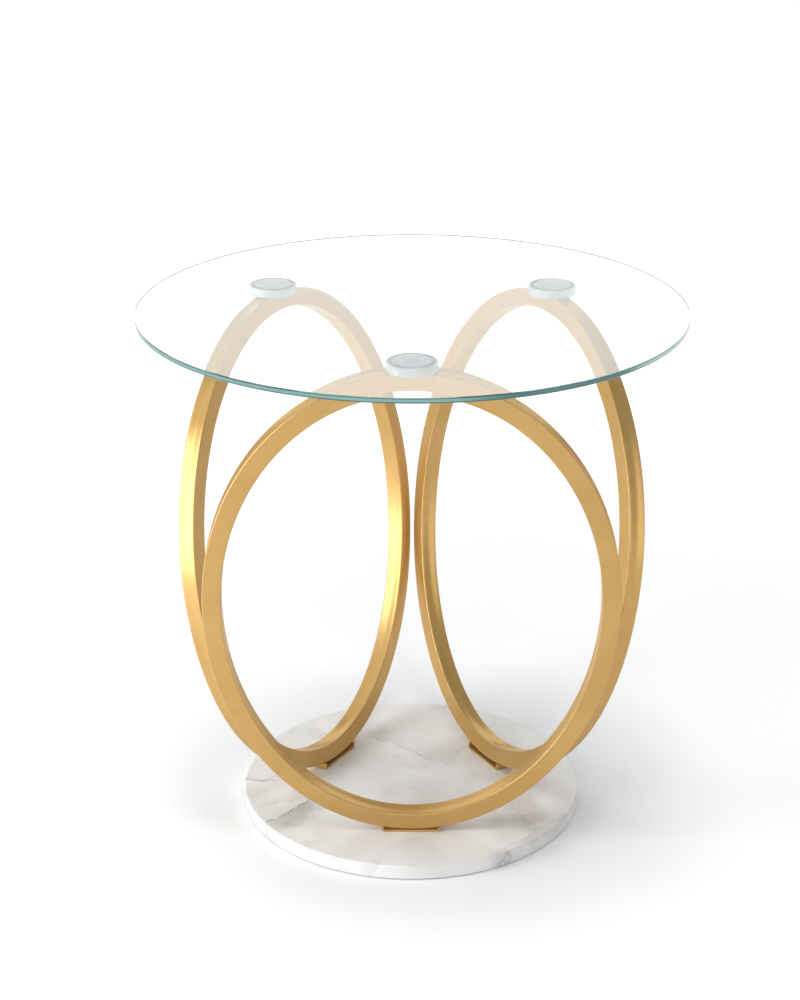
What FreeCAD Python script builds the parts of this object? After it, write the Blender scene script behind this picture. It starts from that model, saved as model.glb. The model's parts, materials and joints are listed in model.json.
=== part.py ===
import FreeCAD, Part
import math
import os

from FreeCAD import Placement, Rotation, Vector

# Side table: a round glass top on three oval hoops of square tube, which lean outwards and are
# bolted to a round stone slab. Millimetres, +Z up, origin on the floor under the middle of the
# table, front hoop towards -Y.

# Whole table
TABLE_HEIGHT = 500.0

# Glass top, with a flat polished edge between two narrow bevels
GLASS_DIAMETER = 500.0
GLASS_THICKNESS = 5.0
GLASS_BEVEL = 0.6

# Stone slab that everything stands on
BASE_DIAMETER = 327.0
BASE_THICKNESS = 14.0
BASE_EDGE_RADIUS = 1.2

# Anti-slip discs stuck under the slab
FLOOR_PAD_COUNT = 6
FLOOR_PAD_DIAMETER = 22.0
FLOOR_PAD_THICKNESS = 1.0
FLOOR_PAD_EDGE_MARGIN = 10.0

# Hoops: closed ovals of square tube, widest a little above the middle. Their width follows from
# the gap that is left between one hoop and the next.
HOOP_NAMES = ("front", "rear_right", "rear_left")
HOOP_LEAN = 7.13
HOOP_FOOT_CIRCLE_RADIUS = 92.0
HOOP_WIDEST_HEIGHT = 258.7
HOOP_GAP = 2.7
HOOP_SEAT_GAP = 0.4
OVAL_STATIONS = 8
TUBE_WIDTH = 17.0
TUBE_DEPTH = 17.0
TUBE_WALL = 1.0
TUBE_CORNER_RADIUS = 1.2

# Foot under each hoop: a bent strip, flat on the slab, with its upturned ends welded to the tube
FOOT_LENGTH = 54.0
FOOT_WIDTH = 20.0
FOOT_THICKNESS = 1.8
FOOT_BEND_RADIUS = 2.0

# Two screws from below hold each foot, in recesses under the slab
BOLT_DIAMETER = 6.0
BOLT_SPACING = 34.0
BOLT_HEAD_DIAMETER = 10.5
BOLT_HEAD_HEIGHT = 3.3
BOLT_HEAD_ROUNDING = 1.1
BOLT_SOCKET_ACROSS_FLATS = 4.0
BOLT_SOCKET_DEPTH = 2.0
BOLT_HOLE_CLEARANCE = 0.3
BOLT_RECESS_DIAMETER = 14.0
BOLT_RECESS_DEPTH = 7.0
WASHER_DIAMETER = 12.0
WASHER_THICKNESS = 1.5
LOCK_WASHER_DIAMETER = 10.4
LOCK_WASHER_THICKNESS = 1.6
LOCK_WASHER_SLIT = 1.0
WASHER_CLEARANCE = 0.2
THREAD_CLEARANCE = 0.05

# Clear soft pads between hoops and glass, saddled over the tube, with a shallow suction dish
PAD_DIAMETER = 45.0
PAD_CROWN_HEIGHT = 7.4
PAD_SKIRT = 1.0
PAD_RIM_RADIUS = 1.5
PAD_DISH_DIAMETER = 34.0
PAD_DISH_DEPTH = 0.5

# Stud moulded into each pad, and the threaded insert crimped into the tube for it
STUD_DIAMETER = 6.0
STUD_FLANGE_DIAMETER = 16.0
STUD_FLANGE_THICKNESS = 2.0
STUD_FLANGE_RISE = 2.2
STUD_END_RECESS = 1.5
INSERT_BODY_DIAMETER = 9.0
INSERT_CRIMP_WIDTH = 1.2
INSERT_CRIMP_HEIGHT = 3.0
INSERT_FLANGE_DIAMETER = 12.0
INSERT_FLANGE_THICKNESS = 0.8
INSERT_END_GAP = 2.0
INSERT_CLEARANCE = 0.05

# Heights of the stack, from the floor up
base_bottom = FLOOR_PAD_THICKNESS
base_top = base_bottom + BASE_THICKNESS
foot_top = base_top + FOOT_THICKNESS
glass_bottom = TABLE_HEIGHT - GLASS_THICKNESS
crown_height = glass_bottom - PAD_CROWN_HEIGHT

# The leaning tube stands on its outer lower corner, so its middle is a little higher than its seat
lean = math.radians(HOOP_LEAN)
corner_reach = TUBE_DEPTH / 2 - TUBE_CORNER_RADIUS
corner_drop = corner_reach * math.sin(lean) + TUBE_CORNER_RADIUS * (1 - math.cos(lean))
hoop_low = foot_top + HOOP_SEAT_GAP + corner_drop

# Lengths in a hoop's own plane, measured from its lowest point
widest_rise = (HOOP_WIDEST_HEIGHT - hoop_low) / math.cos(lean)
crown_rise = (crown_height - hoop_low) / math.cos(lean)
lower_half_height = widest_rise - TUBE_WIDTH / 2
upper_half_height = crown_rise - widest_rise - TUBE_WIDTH / 2
pad_circle_radius = HOOP_FOOT_CIRCLE_RADIUS + crown_rise * math.sin(lean)
insert_length = TUBE_WIDTH - TUBE_WALL - INSERT_END_GAP

# Half the hoop's width, so that the inner edges of two neighbours stay HOOP_GAP apart where they
# come closest, which is below the widest level because the hoops lean
between_hoops = math.tan(math.pi / len(HOOP_NAMES))
slope = between_hoops * math.sin(lean)
inner_face_radius = (
    HOOP_FOOT_CIRCLE_RADIUS + widest_rise * math.sin(lean) - TUBE_DEPTH / 2 * math.cos(lean)
)
oval_reach = between_hoops * inner_face_radius - HOOP_GAP - TUBE_WIDTH / 2 * math.hypot(1, slope)
half_width = math.sqrt(oval_reach**2 - (slope * lower_half_height) ** 2)


def disc(diameter, height, x=0.0, y=0.0, z=0.0):
    """Upright cylinder standing on height z."""
    return Part.makeCylinder(diameter / 2, height, Vector(x, y, z))


def arc_centre(start, way, end):
    """Centre of the arc that leaves start along way and passes through end, in the XZ plane."""
    chord = end - start
    side = Vector(-way.z, 0, way.x)
    return start + side * (chord.dot(chord) / (2 * chord.dot(side)))


def biarc(start, way, end, end_way):
    """Two arcs, tangent to each other, from one point and direction to another."""
    chord = end - start
    along = chord.dot(way + end_way)
    spread = 2 * (1 - way.dot(end_way))
    reach = (math.sqrt(along**2 + spread * chord.dot(chord)) - along) / spread
    joint = (start + end + (way - end_way) * reach) * 0.5
    return [
        (arc_centre(start, way, joint), start, joint),
        (arc_centre(end, end_way, joint), joint, end),
    ]


def oval_arcs():
    """Centreline of a hoop: tangent arcs through points of two half ellipses."""
    stations = []
    for step in range(OVAL_STATIONS):
        angle = 2 * math.pi * step / OVAL_STATIONS
        across, up = math.cos(angle), math.sin(angle)
        half_height = upper_half_height if up > 0 else lower_half_height
        point = Vector(half_width * across, 0, widest_rise + half_height * up)
        way = Vector(-half_width * up, 0, half_height * across).normalize()
        stations.append((point, way))
    arcs = []
    for (start, way), (end, end_way) in zip(stations, stations[1:] + stations[:1]):
        arcs += biarc(start, way, end, end_way)
    return arcs


def oval_wire(arcs, offset):
    """The oval moved outwards by offset, which changes only the arcs' radii."""
    edges = []
    for centre, start, end in arcs:
        radius = (start - centre).Length + offset
        first = (start - centre).normalize()
        last = (end - centre).normalize()
        middle = (first + last).normalize()
        points = [centre + direction * radius for direction in (first, middle, last)]
        edges.append(Part.Arc(*points).toShape())
    return Part.Wire(edges)


def oval_bar(width, depth):
    """Solid oval bar of a sharp rectangular section, upright, standing on the origin."""
    arcs = oval_arcs()
    sheet = Part.Face(oval_wire(arcs, width / 2)).cut(Part.Face(oval_wire(arcs, -width / 2)))
    bar = sheet.Faces[0].extrude(Vector(0, depth, 0))
    bar.translate(Vector(0, -depth / 2, 0))
    return bar


def rounded_oval_bar(width, depth, corner_radius):
    """The same bar with the four corners of its section rounded."""
    bar = oval_bar(width, depth)
    face_edges = [edge for edge in bar.Edges if edge.BoundBox.YLength < depth / 2]
    return bar.makeFillet(corner_radius, face_edges)


def leaned(shape):
    """A shape from a hoop's own upright frame, put where the front hoop stands and leans."""
    place = Placement(
        Vector(0, -HOOP_FOOT_CIRCLE_RADIUS, hoop_low), Rotation(Vector(1, 0, 0), HOOP_LEAN)
    )
    moved = shape.copy()
    moved.Placement = place.multiply(moved.Placement)
    return moved


def turned(shape, index):
    """A shape of the front hoop, carried round the table's axis to another hoop."""
    step = 360.0 / len(HOOP_NAMES)
    place = Placement(Vector(0, 0, 0), Rotation(Vector(0, 0, 1), index * step))
    moved = shape.copy()
    moved.Placement = place.multiply(moved.Placement)
    return moved


def glass_top():
    """Round sheet with both rims of its edge bevelled."""
    sheet = disc(GLASS_DIAMETER, GLASS_THICKNESS, z=glass_bottom)
    rims = [edge for edge in sheet.Edges if edge.BoundBox.ZLength < GLASS_THICKNESS / 2]
    return sheet.makeChamfer(GLASS_BEVEL, rims)


def bolt_places():
    """Where the screws of the front foot stand."""
    return [(side * BOLT_SPACING / 2, -HOOP_FOOT_CIRCLE_RADIUS) for side in (-1, 1)]


def base_slab():
    """Round slab with eased rims, screw holes and a recess from below for each screw head."""
    slab = disc(BASE_DIAMETER, BASE_THICKNESS, z=base_bottom)
    rims = [edge for edge in slab.Edges if edge.BoundBox.ZLength < BASE_THICKNESS / 2]
    slab = slab.makeFillet(BASE_EDGE_RADIUS, rims)
    hole_diameter = BOLT_DIAMETER + 2 * BOLT_HOLE_CLEARANCE
    for index in range(len(HOOP_NAMES)):
        for x, y in bolt_places():
            hole = disc(hole_diameter, BASE_THICKNESS, x, y, base_bottom)
            recess = disc(BOLT_RECESS_DIAMETER, BOLT_RECESS_DEPTH, x, y, base_bottom)
            slab = slab.cut(turned(hole.fuse(recess), index))
    return slab


def hoop_tube(envelope):
    """The bar hollowed to its wall, drilled at the crown for the insert."""
    bore = rounded_oval_bar(
        TUBE_WIDTH - 2 * TUBE_WALL,
        TUBE_DEPTH - 2 * TUBE_WALL,
        max(TUBE_CORNER_RADIUS - TUBE_WALL, TUBE_WALL / 4),
    )
    hole_diameter = INSERT_BODY_DIAMETER + 2 * INSERT_CLEARANCE
    hole = disc(hole_diameter, TUBE_WIDTH, z=crown_rise - TUBE_WIDTH / 2)
    return envelope.cut(bore).cut(hole)


def pad_insert(hoop):
    """Threaded sleeve with a flange on the tube and a crimped collar under its wall."""
    sleeve = disc(INSERT_BODY_DIAMETER, insert_length, z=crown_rise - insert_length)
    flange = disc(INSERT_FLANGE_DIAMETER, INSERT_FLANGE_THICKNESS, z=crown_rise)
    collar = disc(
        INSERT_BODY_DIAMETER + 2 * INSERT_CRIMP_WIDTH,
        INSERT_CRIMP_HEIGHT,
        z=crown_rise - TUBE_WALL - INSERT_CRIMP_HEIGHT,
    )
    bore = disc(STUD_DIAMETER + 2 * THREAD_CLEARANCE, 2 * TUBE_WIDTH, z=crown_rise - TUBE_WIDTH)
    return sleeve.fuse([flange, collar]).cut(bore).cut(hoop)


def pad_stud():
    """Screw with a round flange, which the pad is moulded around."""
    flange_low = crown_rise + INSERT_FLANGE_THICKNESS + STUD_FLANGE_RISE
    shank_low = crown_rise - insert_length + STUD_END_RECESS
    shank = disc(STUD_DIAMETER, flange_low - shank_low, z=shank_low)
    flange = disc(STUD_FLANGE_DIAMETER, STUD_FLANGE_THICKNESS, z=flange_low)
    return shank.fuse(flange).removeSplitter()


def glass_pad(envelope):
    """Clear disc under the glass, moulded over stud and insert flange and saddled on the tube."""
    pad_low = crown_height - PAD_SKIRT
    pad = disc(PAD_DIAMETER, glass_bottom - pad_low, 0, -pad_circle_radius, pad_low)
    rims = [edge for edge in pad.Edges if edge.BoundBox.ZLength < PAD_SKIRT / 2]
    pad = pad.makeFillet(PAD_RIM_RADIUS, rims)
    dish_radius = ((PAD_DISH_DIAMETER / 2) ** 2 + PAD_DISH_DEPTH**2) / (2 * PAD_DISH_DEPTH)
    dish_centre = Vector(0, -pad_circle_radius, glass_bottom - PAD_DISH_DEPTH + dish_radius)
    dish = Part.makeSphere(dish_radius, dish_centre)
    flange_low = crown_rise - TUBE_WIDTH / 2
    flange_room = disc(
        INSERT_FLANGE_DIAMETER, TUBE_WIDTH / 2 + INSERT_FLANGE_THICKNESS, z=flange_low
    )
    return pad.cut(dish).cut(leaned(envelope)).cut(leaned(flange_room)).cut(leaned(pad_stud()))


def foot_plate():
    """Strip wider than the tube, drilled for the screws, with ends that reach up to the tube."""
    half = FOOT_LENGTH / 2
    front = -HOOP_FOOT_CIRCLE_RADIUS - FOOT_WIDTH / 2
    plate = Part.makeBox(FOOT_LENGTH, FOOT_WIDTH, FOOT_THICKNESS, Vector(-half, front, base_top))
    # each end stands upright and runs up into the tube, whose flat underside then trims it
    end_height = hoop_low - base_top + TUBE_WIDTH / 2
    for left in (-half, half - FOOT_THICKNESS):
        end = Part.makeBox(FOOT_THICKNESS, FOOT_WIDTH, end_height, Vector(left, front, base_top))
        plate = plate.fuse(end)
    plate = plate.cut(leaned(oval_bar(TUBE_WIDTH, 2 * FOOT_WIDTH))).removeSplitter()
    bends = [
        edge
        for edge in plate.Edges
        if edge.BoundBox.YLength > FOOT_WIDTH / 2
        and edge.BoundBox.ZMax < base_top + FOOT_THICKNESS / 4
        and edge.BoundBox.XLength < FOOT_THICKNESS
    ]
    plate = plate.makeFillet(FOOT_BEND_RADIUS, bends)
    for x, y in bolt_places():
        plate = plate.cut(
            disc(BOLT_DIAMETER + 2 * THREAD_CLEARANCE, 2 * FOOT_THICKNESS, x, y, base_top)
        )
    return plate


def ring(outer, inner, height, x, y, z):
    """Flat washer."""
    return disc(outer, height, x, y, z).cut(disc(inner, height, x, y, z))


def foot_fasteners():
    """Screws, flat washers and split lock washers of the front foot, hanging from the recess."""
    recess_top = base_bottom + BOLT_RECESS_DEPTH
    washer_low = recess_top - WASHER_THICKNESS
    lock_low = washer_low - LOCK_WASHER_THICKNESS
    head_low = lock_low - BOLT_HEAD_HEIGHT
    washer_bore = BOLT_DIAMETER + 2 * WASHER_CLEARANCE
    socket_radius = BOLT_SOCKET_ACROSS_FLATS / math.sqrt(3)
    bolts, washers, lock_washers = [], [], []
    for x, y in bolt_places():
        head = disc(BOLT_HEAD_DIAMETER, BOLT_HEAD_HEIGHT, x, y, head_low)
        rim = [edge for edge in head.Edges if edge.BoundBox.ZMax < head_low + BOLT_HEAD_HEIGHT / 2]
        head = head.makeFillet(BOLT_HEAD_ROUNDING, rim)
        corners = [
            Vector(
                x + socket_radius * math.cos(math.pi / 3 * corner),
                y + socket_radius * math.sin(math.pi / 3 * corner),
                head_low,
            )
            for corner in range(7)
        ]
        socket = Part.Face(Part.makePolygon(corners)).extrude(Vector(0, 0, BOLT_SOCKET_DEPTH))
        shank = disc(BOLT_DIAMETER, foot_top - lock_low, x, y, lock_low)
        bolts.append(head.fuse(shank).cut(socket))
        washers.append(ring(WASHER_DIAMETER, washer_bore, WASHER_THICKNESS, x, y, washer_low))
        lock = ring(LOCK_WASHER_DIAMETER, washer_bore, LOCK_WASHER_THICKNESS, x, y, lock_low)
        slit = Part.makeBox(
            LOCK_WASHER_DIAMETER,
            LOCK_WASHER_SLIT,
            LOCK_WASHER_THICKNESS,
            Vector(x, y - LOCK_WASHER_SLIT / 2, lock_low),
        )
        lock_washers.append(lock.cut(slit))
    return bolts, washers, lock_washers


def floor_pads():
    """Thin discs under the slab, evenly spaced inside its rim, between the feet."""
    circle = BASE_DIAMETER / 2 - FLOOR_PAD_EDGE_MARGIN - FLOOR_PAD_DIAMETER / 2
    pads = []
    for step in range(FLOOR_PAD_COUNT):
        angle = 2 * math.pi * step / FLOOR_PAD_COUNT
        pads.append(
            disc(
                FLOOR_PAD_DIAMETER,
                FLOOR_PAD_THICKNESS,
                circle * math.cos(angle),
                circle * math.sin(angle),
            )
        )
    return pads


def all_nodes():
    """Every piece of the table under its own name."""
    envelope = rounded_oval_bar(TUBE_WIDTH, TUBE_DEPTH, TUBE_CORNER_RADIUS)
    hoop = hoop_tube(envelope)
    bolts, washers, lock_washers = foot_fasteners()
    front = {
        "hoop": leaned(hoop),
        "foot_plate": foot_plate(),
        "pad_insert": leaned(pad_insert(hoop)),
        "pad_stud": leaned(pad_stud()),
        "glass_pad": glass_pad(envelope),
        "foot_bolts": Part.makeCompound(bolts),
        "foot_washers": Part.makeCompound(washers),
        "lock_washers": Part.makeCompound(lock_washers),
    }
    nodes = {"glass_top": glass_top(), "base_slab": base_slab()}
    for number, pad in enumerate(floor_pads(), start=1):
        nodes[f"floor_pad_{number}"] = pad
    for index, hoop_name in enumerate(HOOP_NAMES):
        for piece_name, shape in front.items():
            nodes[f"{piece_name}_{hoop_name}"] = turned(shape, index)
    return nodes


os.makedirs("parts", exist_ok=True)
for name, shape in all_nodes().items():
    shape.exportStep(f"parts/{name}.step")
    print(name, len(shape.Solids), "solids", round(shape.Volume), "mm3", shape.isValid())
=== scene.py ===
import json
import math

import bpy
from mathutils import Matrix, Vector

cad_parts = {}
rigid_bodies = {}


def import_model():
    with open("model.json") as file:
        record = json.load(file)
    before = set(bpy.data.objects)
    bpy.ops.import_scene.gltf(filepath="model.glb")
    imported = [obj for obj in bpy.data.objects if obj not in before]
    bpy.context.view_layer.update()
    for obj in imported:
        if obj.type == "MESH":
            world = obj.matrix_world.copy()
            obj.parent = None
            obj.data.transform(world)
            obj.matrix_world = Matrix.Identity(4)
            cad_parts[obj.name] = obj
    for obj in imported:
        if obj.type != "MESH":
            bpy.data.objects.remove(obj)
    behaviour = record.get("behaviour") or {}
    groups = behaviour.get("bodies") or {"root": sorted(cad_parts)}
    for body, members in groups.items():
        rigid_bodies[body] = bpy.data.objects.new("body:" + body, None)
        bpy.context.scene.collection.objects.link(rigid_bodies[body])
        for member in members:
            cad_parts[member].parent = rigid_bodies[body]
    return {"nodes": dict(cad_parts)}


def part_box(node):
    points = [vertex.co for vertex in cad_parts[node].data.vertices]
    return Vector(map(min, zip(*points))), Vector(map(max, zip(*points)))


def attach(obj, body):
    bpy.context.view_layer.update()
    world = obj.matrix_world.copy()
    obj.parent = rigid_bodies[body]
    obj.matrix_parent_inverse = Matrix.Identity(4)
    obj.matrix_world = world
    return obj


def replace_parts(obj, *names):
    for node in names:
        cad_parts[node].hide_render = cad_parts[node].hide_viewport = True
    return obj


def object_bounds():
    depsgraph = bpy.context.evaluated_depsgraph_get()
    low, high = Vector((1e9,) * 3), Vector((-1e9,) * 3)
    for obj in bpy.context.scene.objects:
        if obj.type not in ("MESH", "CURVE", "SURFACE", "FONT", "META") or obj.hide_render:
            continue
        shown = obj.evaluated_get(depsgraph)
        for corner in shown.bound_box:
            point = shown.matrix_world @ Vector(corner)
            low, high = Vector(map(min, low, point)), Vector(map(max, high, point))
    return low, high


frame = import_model()
cad_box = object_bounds()


# Base slab: a round plate of polished white marble with soft grey veins, sawn 14 mm thick. Its rims
# are eased by hand, and the screws of the feet come up through it from recesses on its underside.
MARBLE_WHITE = (0.84, 0.838, 0.832, 1)
MARBLE_WARM = (0.785, 0.768, 0.745, 1)
MARBLE_VEIN = (0.255, 0.25, 0.255, 1)
MARBLE_IOR = 1.49
MARBLE_ROUGHNESS = 0.3
MARBLE_DETAIL = (5.0, 0.6)
WARM_SCALE = 14
WARM_SPREAD = (0.4, 0.65)
SMOKE_SCALE = 28
SMOKE_SPREAD = (0.48, 0.75)
SMOKE_STRENGTH = 0.12
BLOTCH_SCALE = 42
BLOTCH_SPREAD = (0.3, 0.65)
BLOTCH_FAINTEST = 0.4
VEIN_WOBBLE = 0.022
VEIN_WOBBLE_SCALE = 24
VEIN_JITTER = 0.011
VEIN_JITTER_SCALE = 95
VEIN_FADING_SCALE = 60
VEIN_FADING_SPREAD = (0.3, 0.6)
VEIN_FAINTEST = 0.3
VEIN_SLANT = 0.2
VEIN_ROUGHER = 0.15
VEIN_FULL_SHARE = 0.4
CLOUD_FULL_SHARE = 0.45
# Each vein: a point in plan, the way it runs in degrees, half its length, its width and strength,
# then the width and strength of the grey cloud on its left, in part painted shade on the right of
# the slab. Lengths are in metres.
MARBLE_VEINS = (
    (-0.119, -0.066, 228, 0.044, 0.0018, 0.70, 0.034, 0.58),
    (-0.131, -0.047, 24, 0.030, 0.0012, 0.45, 0.012, 0.10),
    (-0.152, 0.001, -12, 0.022, 0.0034, 0.60, 0.012, 0.16),
    (-0.145, -0.019, -29, 0.012, 0.0010, 0.22, 0.008, 0.05),
    # This cloud and the broad one below at the right front are in part painted shade on the right
    # of the slab.
    (0.104, -0.072, 118, 0.040, 0.0016, 0.20, 0.050, 0.22),
    (0.112, -0.092, -54, 0.009, 0.0013, 0.36, 0.006, 0.10),
    (-0.037, -0.160, 70, 0.014, 0.0050, 0.14, 0.012, 0.10),
    (0.086, -0.139, 35, 0.012, 0.0030, 0.34, 0.014, 0.14),
    # A faint broad vein whose grey cloud is in part painted shade over the right front of the slab
    # and its edge.
    (0.114, -0.106, 225, 0.075, 0.0010, 0.08, 0.034, 0.26),
    (-0.010, 0.070, -38, 0.120, 0.0014, 0.34, 0.034, 0.14),
    (0.060, 0.085, 62, 0.070, 0.0010, 0.26, 0.020, 0.12),
    (-0.090, 0.095, 150, 0.060, 0.0012, 0.30, 0.026, 0.16),
    (0.010, -0.010, 15, 0.060, 0.0008, 0.20, 0.016, 0.08),
)


class Shade:
    """A socket of a node tree: arithmetic on it adds Math nodes, and node() adds any other node."""

    def __init__(self, tree, socket=None):
        self.tree = tree
        self.socket = socket

    def node(self, kind, settings=None, sockets=None, output=0):
        """Adds one node: its settings first, then the values or links of its sockets."""
        made = self.tree.nodes.new(kind)
        for name, value in (settings or {}).items():
            setattr(made, name, value)
        for key, value in (sockets or {}).items():
            if isinstance(value, Shade):
                self.tree.links.new(value.socket, made.inputs[key])
            else:
                made.inputs[key].default_value = value
        return Shade(self.tree, made.outputs[output] if made.outputs else None)

    def math(self, operation, *values):
        return self.node("ShaderNodeMath", {"operation": operation}, dict(enumerate(values)))

    def __add__(self, other):
        return self.math("ADD", self, other)

    def __sub__(self, other):
        return self.math("SUBTRACT", self, other)

    def __rsub__(self, other):
        return self.math("SUBTRACT", other, self)

    def __mul__(self, other):
        return self.math("MULTIPLY", self, other)

    def __abs__(self):
        return self.math("ABSOLUTE", self)

    __radd__ = __add__
    __rmul__ = __mul__

    def place(self):
        """The place of each point in the table's frame."""
        return self.node("ShaderNodeTexCoord", output="Object")

    def rise(self, low, high):
        """0 at low and 1 at high, with a smooth step between them."""
        return self.node(
            "ShaderNodeMapRange",
            {"interpolation_type": "SMOOTHSTEP"},
            {"Value": self, "From Min": low, "From Max": high},
        )

    def along(self, direction):
        """How far this place lies along a direction."""
        return self.node(
            "ShaderNodeVectorMath", {"operation": "DOT_PRODUCT"}, {0: self, 1: direction}, "Value"
        )

    def noise(self, scale, detail=2.0, roughness=0.5):
        """Even noise from 0 to 1 at this place."""
        return self.node(
            "ShaderNodeTexNoise",
            None,
            {"Vector": self, "Scale": scale, "Detail": detail, "Roughness": roughness},
        )

    def blend(self, low_colour, high_colour):
        """The first colour where this is 0, and the second where it is 1."""
        return self.node(
            "ShaderNodeMix", {"data_type": "RGBA"}, {0: self, 6: low_colour, 7: high_colour}, 2
        )

    def bump(self, depth, strength):
        """A normal bent by this height, with its depth in metres."""
        return self.node(
            "ShaderNodeBump", None, {"Height": self, "Distance": depth, "Strength": strength}
        )


def new_finish(name):
    """An empty material and its node tree."""
    material = bpy.data.materials.new(name)
    material.use_nodes = True
    material.node_tree.nodes.clear()
    return material, Shade(material.node_tree)


def close_finish(tree, shader):
    tree.node("ShaderNodeOutputMaterial", None, {"Surface": shader})


def close_plain_finish(tree, sockets):
    """Ends a finish in one Principled shader."""
    close_finish(tree, tree.node("ShaderNodeBsdfPrincipled", None, sockets))


def polished_marble():
    material, tree = new_finish("polished_white_marble")
    place = tree.place()
    wobble = (place.noise(VEIN_WOBBLE_SCALE, *MARBLE_DETAIL) - 0.5) * VEIN_WOBBLE
    wobble = wobble + (place.noise(VEIN_JITTER_SCALE, detail=3.0) - 0.5) * VEIN_JITTER
    fading = place.noise(VEIN_FADING_SCALE).rise(*VEIN_FADING_SPREAD)
    fading = fading * (1 - VEIN_FAINTEST) + VEIN_FAINTEST
    blotches = place.noise(BLOTCH_SCALE, *MARBLE_DETAIL).rise(*BLOTCH_SPREAD)
    blotches = blotches * (1 - BLOTCH_FAINTEST) + BLOTCH_FAINTEST
    grey = place.noise(SMOKE_SCALE, *MARBLE_DETAIL).rise(*SMOKE_SPREAD) * SMOKE_STRENGTH
    for x, y, heading, reach, width, strength, cloud, haze_and_shade in MARBLE_VEINS:
        way_x, way_y = math.cos(math.radians(heading)), math.sin(math.radians(heading))
        run = place.along((way_x, way_y, 0)) - (x * way_x + y * way_y)
        off = place.along((-way_y, way_x, VEIN_SLANT)) - (y * way_x - x * way_y) + wobble
        ends = abs(run).rise(reach, reach * VEIN_FULL_SHARE)
        line = abs(off).rise(width, 0) * fading * strength
        # The grey cloud beside a vein; on the right of the slab it is in part painted shade.
        side = off.rise(cloud, cloud * CLOUD_FULL_SHARE) * off.rise(-width, width)
        grey = grey + ends * (line + side * blotches * haze_and_shade)
    ground = place.noise(WARM_SCALE).rise(*WARM_SPREAD).blend(MARBLE_WHITE, MARBLE_WARM)
    close_plain_finish(
        tree,
        {
            "Base Color": grey.math("MINIMUM", grey, 1).blend(ground, MARBLE_VEIN),
            "Roughness": grey * VEIN_ROUGHER + MARBLE_ROUGHNESS,
            "IOR": MARBLE_IOR,
        },
    )
    return material


def dress(name, material):
    """Gives a CAD node its finish."""
    node = frame["nodes"][name]
    node.data.materials.clear()
    node.data.materials.append(material)
    return node


dress("base_slab", polished_marble())


# Floor pads: six thin discs of dark closed-cell foam, stuck under the slab so that it neither slips
# nor scratches the floor.
FLOOR_PADS = 6
FOAM_DARK = (0.030, 0.030, 0.032, 1)
FOAM_PALE = (0.075, 0.075, 0.078, 1)
FOAM_ROUGHNESS = 0.85
FOAM_CELLS = 1800
CELL_DEPTH = 0.0002
CELL_STRENGTH = 0.5
CELL_ROUGHER = 0.1


def closed_cell_foam():
    material, tree = new_finish("dark_closed_cell_foam")
    cells = tree.place().noise(FOAM_CELLS)
    close_plain_finish(
        tree,
        {
            "Base Color": cells.blend(FOAM_DARK, FOAM_PALE),
            "Roughness": cells * CELL_ROUGHER + FOAM_ROUGHNESS,
            "Normal": cells.bump(CELL_DEPTH, CELL_STRENGTH),
        },
    )
    return material


foam = closed_cell_foam()
for number in range(1, FLOOR_PADS + 1):
    dress(f"floor_pad_{number}", foam)


# Hoops: square steel tube bent to an oval, welded shut, ground smooth and coated in satin gold
# lacquer. Each leans outwards from the slab, and bending has drawn its inner and outer walls in a
# little.
HOOPS = ("front", "rear_right", "rear_left")
TUBE = 0.017
TUBE_CORNER = 0.0012
WALL_SINK = 0.0004
HOOP_LEAN = math.radians(7.13)
HOOP_FOOT_CIRCLE = 0.092
HOOP_WIDEST_HEIGHT = 0.2587
HOOP_STATIONS = 288
CORNER_STEPS = 6
WALL_STEPS = 8
GOLD_DEEP = (0.535, 0.321, 0.102, 1)
GOLD_LIGHT = (0.602, 0.374, 0.133, 1)
GOLD_SHEEN = (1.0, 0.86, 0.58, 1)
LACQUER_METALLIC = 0.5
LACQUER_ROUGHNESS = 0.24
LACQUER_COAT = 0.1
LACQUER_COAT_ROUGHNESS = 0.15
LACQUER_SPREAD = (0.3, 0.7)
DRIFT_SCALE = 22
DRIFT_SHARE = 0.6
DRIFT_ROUGHER = 0.06
GRAIN_SCALE = 700
GRAIN_DEPTH = 0.00002
GRAIN_STRENGTH = 0.35
GRAIN_ROUGHER = 0.05

hoop_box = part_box("hoop_front")
tube_flat = TUBE / 2 - TUBE_CORNER
corner_drop = tube_flat * math.sin(HOOP_LEAN) + TUBE_CORNER * (1 - math.cos(HOOP_LEAN))
hoop_low = hoop_box[0].z + corner_drop
half_width = hoop_box[1].x - TUBE / 2
crown_rise = (hoop_box[1].z - corner_drop - hoop_low) / math.cos(HOOP_LEAN)
widest_rise = (HOOP_WIDEST_HEIGHT - hoop_low) / math.cos(HOOP_LEAN)
lower_half_height = widest_rise - TUBE / 2
upper_half_height = crown_rise - widest_rise - TUBE / 2


def gold_lacquer():
    material, tree = new_finish("satin_gold_lacquer")
    place = tree.place()
    grain = place.noise(GRAIN_SCALE)
    drift = place.noise(DRIFT_SCALE, detail=3.0)
    depth = (drift * DRIFT_SHARE + grain * (1 - DRIFT_SHARE)).rise(*LACQUER_SPREAD)
    close_plain_finish(
        tree,
        {
            "Base Color": depth.blend(GOLD_DEEP, GOLD_LIGHT),
            "Metallic": LACQUER_METALLIC,
            "Roughness": drift * DRIFT_ROUGHER + grain * GRAIN_ROUGHER + LACQUER_ROUGHNESS,
            "Specular Tint": GOLD_SHEEN,
            "Coat Weight": LACQUER_COAT,
            "Coat Roughness": LACQUER_COAT_ROUGHNESS,
            "Normal": grain.bump(GRAIN_DEPTH, GRAIN_STRENGTH),
        },
    )
    return material


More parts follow.
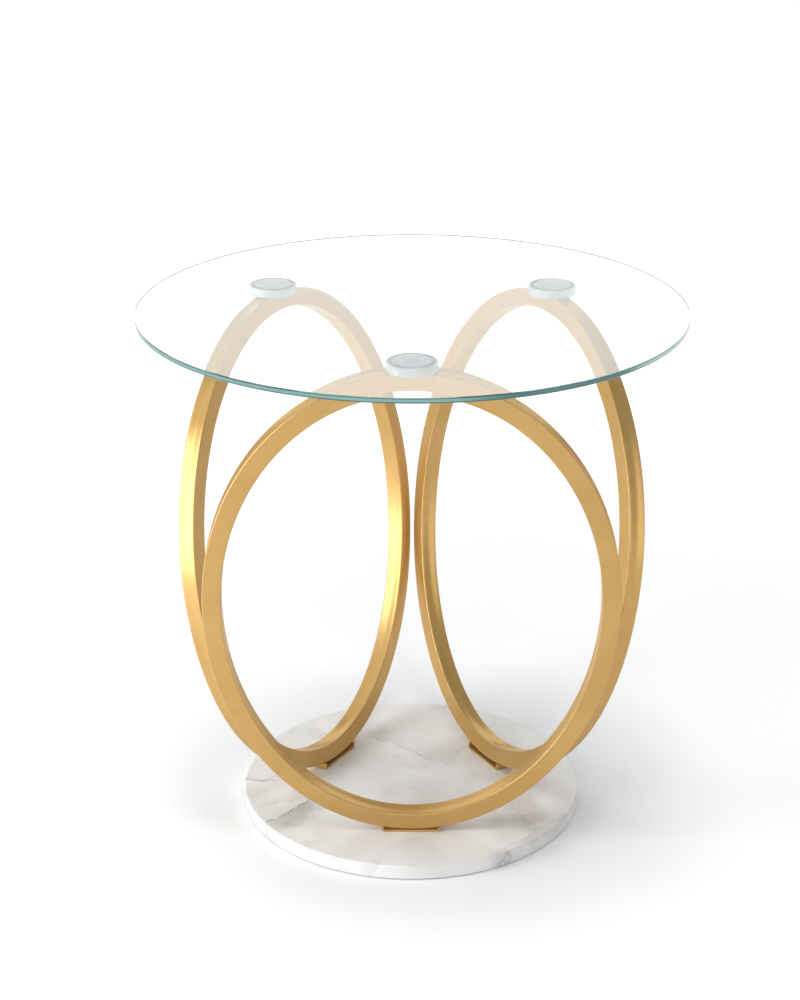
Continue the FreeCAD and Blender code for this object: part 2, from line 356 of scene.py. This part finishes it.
def tube_section():
    """The tube's outline: points and normals, outwards from the hoop and along its depth."""
    outline = []
    for quarter in range(4):
        first = math.pi / 2 * quarter
        corner_out = math.copysign(tube_flat, math.cos(first + math.pi / 4))
        corner_deep = math.copysign(tube_flat, math.sin(first + math.pi / 4))
        for step in range(CORNER_STEPS + 1):
            angle = first + math.pi / 2 * step / CORNER_STEPS
            out, deep = math.cos(angle), math.sin(angle)
            outline.append(
                (corner_out + TUBE_CORNER * out, corner_deep + TUBE_CORNER * deep, out, deep)
            )
        if quarter % 2:
            side = -1 if quarter == 1 else 1
            for step in range(1, WALL_STEPS):
                share = side * (2 * step / WALL_STEPS - 1)
                sink = WALL_SINK * (1 + math.cos(math.pi * share)) / 2
                slope = -WALL_SINK * math.pi / (2 * tube_flat) * math.sin(math.pi * share)
                outline.append((side * (TUBE / 2 - sink), tube_flat * share, side, slope))
    return outline


def hoop_place(index):
    """From a hoop's own upright frame, which stands on its lowest point, to the table's frame."""
    turn = Matrix.Rotation(2 * math.pi * index / len(HOOPS), 4, "Z")
    foot = Matrix.Translation((0, -HOOP_FOOT_CIRCLE, hoop_low))
    return turn @ foot @ Matrix.Rotation(HOOP_LEAN, 4, "X")


def new_piece(name, points, faces, material):
    """A mesh object that rides with the table."""
    mesh = bpy.data.meshes.new(name)
    mesh.from_pydata(points, [], faces)
    mesh.materials.append(material)
    mesh.shade_smooth()
    piece = bpy.data.objects.new(name, mesh)
    bpy.context.scene.collection.objects.link(piece)
    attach(piece, "root")
    return piece


def bent_hoop(name, place, material):
    outline = tube_section()
    points, normals, faces = [], [], []
    for station in range(HOOP_STATIONS):
        angle = 2 * math.pi * station / HOOP_STATIONS
        across, up = math.cos(angle), math.sin(angle)
        half_height = upper_half_height if up > 0 else lower_half_height
        middle = Vector((half_width * across, 0, widest_rise + half_height * up))
        outward = Vector((half_height * across, 0, half_width * up)).normalized()
        for out, deep, normal_out, normal_deep in outline:
            points.append(place @ (middle + outward * out + Vector((0, deep, 0))))
            normal = outward * normal_out + Vector((0, normal_deep, 0))
            normals.append((place.to_3x3() @ normal).normalized())
    count = len(outline)
    for station in range(HOOP_STATIONS):
        here, there = station * count, (station + 1) % HOOP_STATIONS * count
        for step in range(count):
            after = (step + 1) % count
            faces.append((here + step, here + after, there + after, there + step))
    piece = new_piece(name, points, faces, material)
    piece.data.normals_split_custom_set_from_vertices(normals)
    return piece


gold = gold_lacquer()
for index, hoop in enumerate(HOOPS):
    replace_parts(bent_hoop(f"tube_{hoop}", hoop_place(index), gold), f"hoop_{hoop}")


# Feet: strips of steel a little wider than the tube, their ends turned up and welded to the
# underside of each hoop, coated with it in one go. A short bead of weld shows at the outside of
# each end.
BEAD_RADIUS = 0.0011
BEAD_RIPPLES = 9
BEAD_RIPPLE_DEPTH = 0.16
BEAD_BLUNTNESS = 8
BEAD_RINGS = 54
BEAD_SIDES = 12
STRIP_EASE = 0.0007
STRIP_EASE_STEPS = 3
STRIP_EASE_ANGLE = math.radians(50)
JOIN_DISTANCE = 1e-6

foot_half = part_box("foot_plate_front")[1].x
bottom_radius = half_width**2 / lower_half_height + TUBE / 2
bead_rise = bottom_radius - math.sqrt(bottom_radius**2 - foot_half**2)


def closed_faces(rings, steps):
    """Faces from point 0 over rings of points to point 1. The rings' points follow those two."""
    first, last = 2, 2 + (rings - 1) * steps
    faces = []
    for step in range(steps):
        after = (step + 1) % steps
        faces.append((0, first + step, first + after))
        faces.append((1, last + after, last + step))
        for here in range(first, last, steps):
            there = here + steps
            faces.append((here + step, there + step, there + after, here + after))
    return faces


def weld_bead(name, place, side, material):
    """A rippled bead along the depth of the tube, closed to a point at both ends."""
    middle = Vector((side * foot_half, 0, bead_rise))
    points = [place @ (middle + Vector((0, end * tube_flat, 0))) for end in (-1, 1)]
    for ring in range(1, BEAD_RINGS):
        share = 2 * ring / BEAD_RINGS - 1
        wave = abs(math.sin(math.pi * BEAD_RIPPLES * (share + 1) / 2))
        ripple = 1 - BEAD_RIPPLE_DEPTH * wave
        radius = BEAD_RADIUS * ripple * (1 - share**BEAD_BLUNTNESS) ** 0.5
        for step in range(BEAD_SIDES):
            angle = 2 * math.pi * step / BEAD_SIDES
            across, up = radius * math.cos(angle), radius * math.sin(angle)
            points.append(place @ (middle + Vector((across, tube_flat * share, up))))
    new_piece(name, points, closed_faces(BEAD_RINGS - 1, BEAD_SIDES), material)


def join_points(node):
    """Joins coinciding points of a CAD mesh, so that it is closed."""
    node.modifiers.new("joined", "WELD").merge_threshold = JOIN_DISTANCE


for index, hoop in enumerate(HOOPS):
    strip = dress(f"foot_plate_{hoop}", gold)
    join_points(strip)
    eased = strip.modifiers.new("eased", "BEVEL")
    eased.width, eased.segments = STRIP_EASE, STRIP_EASE_STEPS
    eased.limit_method, eased.angle_limit = "ANGLE", STRIP_EASE_ANGLE
    for side, hand in ((-1, "left"), (1, "right")):
        weld_bead(f"weld_{hoop}_{hand}", hoop_place(index), side, gold)


# Fasteners: zinc-plated socket screws with flat and split washers, driven from the recesses under
# the slab up into the feet. The rivet inserts crimped into the crown of each hoop, and the studs
# that screw the pads to them, are plated too.
FASTENERS = ("foot_bolts", "foot_washers", "lock_washers", "pad_insert", "pad_stud")
ZINC_BLUE = (0.56, 0.58, 0.61, 1)
ZINC_WARM = (0.66, 0.65, 0.61, 1)
ZINC_ROUGHNESS = 0.2
ZINC_CLOUD_SCALE = 160
ZINC_CLOUD_SPREAD = (0.35, 0.65)
ZINC_CLOUD_ROUGHER = 0.18
SCUFF_SCALE = 1920
SCUFF_DEPTH = 0.00003
SCUFF_STRENGTH = 0.3
SCUFF_ROUGHER = 0.08


def plated_steel():
    material, tree = new_finish("zinc_plated_steel")
    place = tree.place()
    clouds = place.noise(ZINC_CLOUD_SCALE, detail=4.0, roughness=0.6)
    scuffs = place.noise(SCUFF_SCALE)
    close_plain_finish(
        tree,
        {
            "Base Color": clouds.rise(*ZINC_CLOUD_SPREAD).blend(ZINC_BLUE, ZINC_WARM),
            "Metallic": 1.0,
            "Roughness": clouds * ZINC_CLOUD_ROUGHER + scuffs * SCUFF_ROUGHER + ZINC_ROUGHNESS,
            "Normal": scuffs.bump(SCUFF_DEPTH, SCUFF_STRENGTH),
        },
    )
    return material


zinc = plated_steel()
for hoop in HOOPS:
    for fastener in FASTENERS:
        dress(f"{fastener}_{hoop}", zinc)


# Glass pads: clear soft vinyl discs moulded round the studs, saddled on the crown of each hoop. A
# shallow dish in their top holds the glass by suction.
VINYL_CLEAR = (0.56, 0.63, 0.63, 1)
VINYL_CLOUDY = (0.40, 0.47, 0.48, 1)
# Painted shade: the dark colour of the dish in each pad's top.
VINYL_DISH_SHADE = (0.12, 0.17, 0.175, 1)
VINYL_IOR = 1.5
VINYL_ROUGHNESS = 0.15
VINYL_BODY = 0.62
VINYL_CLOUD_SCALE = 90
VINYL_CLOUD_SPREAD = (0.35, 0.65)
VINYL_CLOUD_ROUGHER = 0.15
VINYL_CLOUD_BODY = 0.1
DISH_RADIUS = 0.018
DISH_DEPTH = 0.0008
DISH_FULL_SHARE = 0.85
DISH_CLOUDS = 0.3
DISH_SHADE_BODY = 0.28

pad_boxes = [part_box(f"glass_pad_{hoop}") for hoop in HOOPS]
pad_middles = [(low + high) / 2 for low, high in pad_boxes]
pad_top = pad_boxes[0][1].z


def clear_vinyl():
    """Cloudy vinyl, with painted shade that makes the dish in its top darker and less clear."""
    material, tree = new_finish("clear_soft_vinyl")
    place = tree.place()
    clouds = place.noise(VINYL_CLOUD_SCALE, detail=3.0).rise(*VINYL_CLOUD_SPREAD)
    in_dish = place.along((0, 0, 1)).rise(pad_top - 2 * DISH_DEPTH, pad_top - DISH_DEPTH)
    nearest = 1.0
    for middle in pad_middles:
        away = tree.node(
            "ShaderNodeVectorMath",
            {"operation": "DISTANCE"},
            {0: place, 1: (middle.x, middle.y, pad_top)},
            "Value",
        )
        nearest = away.math("MINIMUM", away, nearest)
    in_dish = in_dish * nearest.rise(DISH_RADIUS, DISH_RADIUS * DISH_FULL_SHARE)
    # Painted shade over the dish, broken up by the clouds; it also makes the dish less clear.
    dish_shade = in_dish * (1 - clouds * DISH_CLOUDS)
    colour = dish_shade.blend(clouds.blend(VINYL_CLEAR, VINYL_CLOUDY), VINYL_DISH_SHADE)
    close_plain_finish(
        tree,
        {
            "Base Color": colour,
            "Roughness": clouds * VINYL_CLOUD_ROUGHER + VINYL_ROUGHNESS,
            "IOR": VINYL_IOR,
            "Alpha": clouds * VINYL_CLOUD_BODY + dish_shade * DISH_SHADE_BODY + VINYL_BODY,
        },
    )
    return material


vinyl = clear_vinyl()
for hoop in HOOPS:
    join_points(dress(f"glass_pad_{hoop}", vinyl))


# Glass top: one round sheet of clear tempered glass, 5 mm thick, resting on the pads. Its edge is
# ground flat and polished between two narrow arrises, and shows the green of the glass.
# The edge's colour carries painted shade and painted highlights.
GLASS_STEPS = 384
GLASS_ARRIS = 0.0006
GLASS_SHARP_ANGLE = math.radians(30)
GLASS_TINT = (0.925, 0.96, 0.97, 1)
GLASS_SHADOW = (0.90, 0.94, 0.93, 1)
GLASS_IOR = 1.52
EDGE_GREEN = (0.265, 0.54, 0.495, 1)
# Painted shade: the dimmer green at the front right of the edge.
EDGE_PAINTED_SHADE = (0.04, 0.205, 0.195, 1)
# Painted shade: the dark lines along the arrises.
EDGE_SHADE_LINE = (0.05, 0.11, 0.11, 1)
# Painted highlight: the pale glint and streaks on the edge.
EDGE_HIGHLIGHT = (0.66, 0.88, 0.84, 1)
EDGE_ROUGHNESS = 0.12
EDGE_COAT = 0.6
EDGE_LINE = 0.0009
LINE_FAINTEST = 0.5
LINE_STREAKS = 0.6
STREAK_SCALE = 14
STREAK_SPREAD = (0.42, 0.58)
# Where the painted shade and the painted glint on the edge fall, and the front where painted
# streaks light the upper arris.
SHADE_HEADING = math.radians(-56)
SHADE_REACH = (0.88, 0.98)
GLINT_HEADING = math.radians(-28)
GLINT_REACH = (0.95, 0.99)
GLINT_STRENGTH = 0.6
FRONT_HEADING = math.radians(-90)
FRONT_REACH = (0.0, 0.4)

glass_low, glass_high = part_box("glass_top")
glass_radius = glass_high.x


def clear_glass():
    """Clear to look at, and see-through for the lamps' shadows."""
    material, tree = new_finish("clear_tempered_glass")
    glass = tree.node(
        "ShaderNodeBsdfPrincipled",
        None,
        {
            "Base Color": GLASS_TINT,
            "Roughness": 0.0,
            "IOR": GLASS_IOR,
            "Transmission Weight": 1.0,
        },
    )
    for_lamps = tree.node("ShaderNodeLightPath", output="Is Shadow Ray")
    clear = tree.node("ShaderNodeBsdfTransparent", None, {"Color": GLASS_SHADOW})
    close_finish(tree, tree.node("ShaderNodeMixShader", None, {0: for_lamps, 1: glass, 2: clear}))
    return material


def towards(place, heading, reach):
    """0 to 1 over a reach, in shares of the glass's radius, along a heading in plan."""
    low, high = reach
    distance = place.along((math.cos(heading), math.sin(heading), 0))
    return distance.rise(glass_radius * low, glass_radius * high)


def green_edge():
    """Green glass with painted shade, a dark line along both arrises and a dimmer front right, and
    painted highlights, a glint at the front right and streaks along the upper arris in front.
    """
    material, tree = new_finish("green_edge_painted_light")
    place = tree.place()
    plan = tree.node("ShaderNodeVectorMath", {"operation": "MULTIPLY"}, {0: place, 1: (1, 1, 0)})
    streaks = plan.noise(STREAK_SCALE)
    height = place.along((0, 0, 1))
    upper, lower = glass_high.z - GLASS_ARRIS, glass_low.z + GLASS_ARRIS
    # Painted shade: dark lines along both arrises.
    upper_line = height.rise(upper - EDGE_LINE, upper - EDGE_LINE / 2)
    lower_line = height.rise(lower + EDGE_LINE, lower + EDGE_LINE / 2)
    shade_lines = upper_line.math("MAXIMUM", upper_line, lower_line)
    shade_lines = shade_lines * (streaks * LINE_STREAKS + LINE_FAINTEST)
    glint = towards(place, GLINT_HEADING, GLINT_REACH)
    # Painted shade at the front right, then a painted glint towards the right.
    green = towards(place, SHADE_HEADING, SHADE_REACH).blend(EDGE_GREEN, EDGE_PAINTED_SHADE)
    green = (glint * GLINT_STRENGTH).blend(green, EDGE_HIGHLIGHT)
    # Painted highlights in streaks along the upper arris, in front only.
    lit = glint.math("MAXIMUM", glint, streaks.rise(*STREAK_SPREAD))
    lit = lit * towards(place, FRONT_HEADING, FRONT_REACH)
    lit = lit * height.rise(upper, upper + GLASS_ARRIS / 4)
    close_plain_finish(
        tree,
        {
            "Base Color": lit.blend(shade_lines.blend(green, EDGE_SHADE_LINE), EDGE_HIGHLIGHT),
            "Roughness": EDGE_ROUGHNESS,
            "IOR": GLASS_IOR,
            "Coat Weight": EDGE_COAT,
        },
    )
    return material


def glass_sheet():
    """A turned sheet, from the middle of its top over the edge to the middle of its bottom."""
    rim = glass_radius - GLASS_ARRIS
    rings = (
        (rim / 2, glass_high.z),
        (rim, glass_high.z),
        (glass_radius, glass_high.z - GLASS_ARRIS),
        (glass_radius, glass_low.z + GLASS_ARRIS),
        (rim, glass_low.z),
        (rim / 2, glass_low.z),
    )
    points = [Vector((0, 0, glass_high.z)), Vector((0, 0, glass_low.z))]
    for radius, height in rings:
        for step in range(GLASS_STEPS):
            angle = 2 * math.pi * step / GLASS_STEPS
            points.append(Vector((radius * math.cos(angle), radius * math.sin(angle), height)))
    faces = closed_faces(len(rings), GLASS_STEPS)
    piece = new_piece("glass_sheet", points, faces, clear_glass())
    piece.data.materials.append(green_edge())
    piece.data.set_sharp_from_angle(angle=GLASS_SHARP_ANGLE)
    for face in piece.data.polygons:
        if face.center.xy.length > rim * math.cos(math.pi / GLASS_STEPS):
            face.material_index = 1
    return piece


sheet = glass_sheet()
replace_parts(sheet, "glass_top")


# Studio: a plain white floor under an even dome of light, with a near softbox on the left, a wide
# light high up on that side, and pale panels all round. Nothing of it belongs to the table.
FLOOR_HALF = 14.0
FLOOR_WHITE = (0.85, 0.858, 0.868, 1)
FLOOR_LIFT_NEAR = 0.09
FLOOR_LIFT_FAR = 0.29
FLOOR_LIFT_REACH = (0.17, 0.35)
FLOOR_FADE = 0.45
FLOOR_FADE_REACH = (0.5, 1.8)
BLACK = (0, 0, 0, 1)
WHITE = (1, 1, 1, 1)
DOME_GREY = (0.33, 0.33, 0.33, 1)
OVERHEAD_FROM = (-0.55, 0.20, 0.80)
OVERHEAD_WIDTH = math.radians(55)
OVERHEAD_STRENGTH = 0.45
# Each panel: where its middle stands, what it faces, its width and height, its brightness and what
# it lights. The lamps leave out the glass, where their hard-edged mirror images would hide its rim.
# Pale screens on all sides light only the glass instead, and give it an even veil.
PANELS = {
    "left_softbox": ((-1.22, -0.50, 0.53), (0.0, 0.0, 0.53), 0.6, 1.05, 7.0, "all_but_glass"),
    "right_panel": ((1.55, -1.0, 0.6), (0.0, 0.0, 0.3), 0.5, 1.4, 2.0, "all_but_glass"),
    "front_panel": ((0.0, -4.0, 1.2), (0.0, 0.0, 0.3), 4.0, 2.0, 1.45, "all_but_glass"),
    "top_panel": ((0.1, -0.85, 2.3), (0.0, 0.0, 0.3), 0.6, 0.6, 7.6, "all_but_glass"),
    "back_panel": ((0.0, 3.0, 1.5), (0.0, 0.0, 0.5), 5.0, 1.6, 1.15, "all_but_glass"),
    "back_screen": ((0.0, 3.0, 1.3), (0.0, 0.0, 1.3), 6.0, 2.2, 1.15, "glass"),
    "left_screen": ((-3.0, 0.0, 1.3), (0.0, 0.0, 1.3), 6.0, 2.2, 0.85, "glass"),
    "right_screen": ((3.0, 0.0, 1.3), (0.0, 0.0, 1.3), 6.0, 2.2, 0.85, "glass"),
    "front_screen": ((0.0, -3.0, 1.3), (0.0, 0.0, 1.3), 6.0, 2.2, 0.7, "glass"),
}


def white_floor():
    """Matte white that keeps shadows, lifted to pure white further out for what looks at it."""
    material, tree = new_finish("white_studio_floor")
    camera_ray, glossy_ray, transmission_ray = (
        tree.node("ShaderNodeLightPath", output=f"Is {kind} Ray")
        for kind in ("Camera", "Glossy", "Transmission")
    )
    looked_at = camera_ray.math("MAXIMUM", camera_ray, transmission_ray)
    seen = looked_at.math("MAXIMUM", looked_at, glossy_ray)
    away = tree.node("ShaderNodeVectorMath", {"operation": "LENGTH"}, {0: tree.place()}, "Value")
    lift = away.rise(*FLOOR_LIFT_REACH) * (FLOOR_LIFT_FAR - FLOOR_LIFT_NEAR) + FLOOR_LIFT_NEAR
    lift = lift * seen + away.rise(*FLOOR_FADE_REACH) * looked_at * FLOOR_FADE
    matte = tree.node("ShaderNodeBsdfDiffuse", None, {"Color": FLOOR_WHITE})
    glow = tree.node("ShaderNodeEmission", None, {"Color": lift.blend(BLACK, WHITE)})
    close_finish(tree, tree.node("ShaderNodeAddShader", None, {0: matte, 1: glow}))
    return material


floor_corners = ((-1, -1), (1, -1), (1, 1), (-1, 1))
floor_points = [(x * FLOOR_HALF, y * FLOOR_HALF, cad_box[0].z) for x, y in floor_corners]
floor_mesh = bpy.data.meshes.new("floor")
floor_mesh.from_pydata(floor_points, [], [(0, 1, 2, 3)])
floor_mesh.materials.append(white_floor())
floor = bpy.data.objects.new("floor", floor_mesh)
bpy.context.scene.collection.objects.link(floor)

world = bpy.data.worlds.new("studio_dome")
world.use_nodes = True
world.node_tree.nodes.clear()
dome = Shade(world.node_tree)
sky = dome.node("ShaderNodeLightPath", output="Is Camera Ray").blend(DOME_GREY, WHITE)
light = dome.node("ShaderNodeBackground", None, {"Color": sky})
dome.node("ShaderNodeOutputWorld", None, {"Surface": light})
bpy.context.scene.world = world

lit_pieces = {name: bpy.data.collections.new(name) for name in ("glass", "all_but_glass")}
for piece in bpy.context.scene.objects:
    if piece.type == "MESH":
        lit_pieces["glass" if piece == sheet else "all_but_glass"].objects.link(piece)


def hang_lamp(lamp, place, target, lit):
    """Points a lamp from its place at a target, lighting some pieces and hidden from the camera."""
    holder = bpy.data.objects.new(lamp.name, lamp)
    holder.location = place
    facing = Vector(target) - Vector(place)
    holder.rotation_euler = facing.to_track_quat("-Z", "Y").to_euler()
    holder.visible_camera = False
    holder.light_linking.receiver_collection = lit_pieces[lit]
    bpy.context.scene.collection.objects.link(holder)


overhead = bpy.data.lights.new("overhead_light", "SUN")
overhead.angle = OVERHEAD_WIDTH
overhead.energy = OVERHEAD_STRENGTH
hang_lamp(overhead, OVERHEAD_FROM, (0, 0, 0), "all_but_glass")

for name, (place, target, width, height, brightness, lit) in PANELS.items():
    panel = bpy.data.lights.new(name, "AREA")
    panel.shape = "RECTANGLE"
    panel.size, panel.size_y = width, height
    panel.energy = brightness * math.pi * width * height
    hang_lamp(panel, place, target, lit)


# Camera: where the photograph was taken from, about 1.9 m in front of the table and 1.1 m above the
# floor, looking down on it.
CAMERA_PLACE = (0.00275, -1.9366, 1.0912)
CAMERA_PITCH = 0.3831
CAMERA_YAW = 0.0070
CAMERA_FOCAL_PIXELS = 2231.0
CAMERA_SHIFT_PIXELS = (-0.35, 0.70)
IMAGE_LONG_SIDE = 1000
SENSOR = 36.0

lens = bpy.data.cameras.new("camera")
lens.sensor_width = SENSOR
lens.lens = SENSOR * CAMERA_FOCAL_PIXELS / IMAGE_LONG_SIDE
lens.shift_x, lens.shift_y = (shift / IMAGE_LONG_SIDE for shift in CAMERA_SHIFT_PIXELS)
camera = bpy.data.objects.new("camera", lens)
camera.location = CAMERA_PLACE
camera.rotation_euler = (math.pi / 2 - CAMERA_PITCH, 0, CAMERA_YAW)
bpy.context.scene.collection.objects.link(camera)
bpy.context.scene.camera = camera
bpy.context.scene.view_settings.view_transform = "Standard"
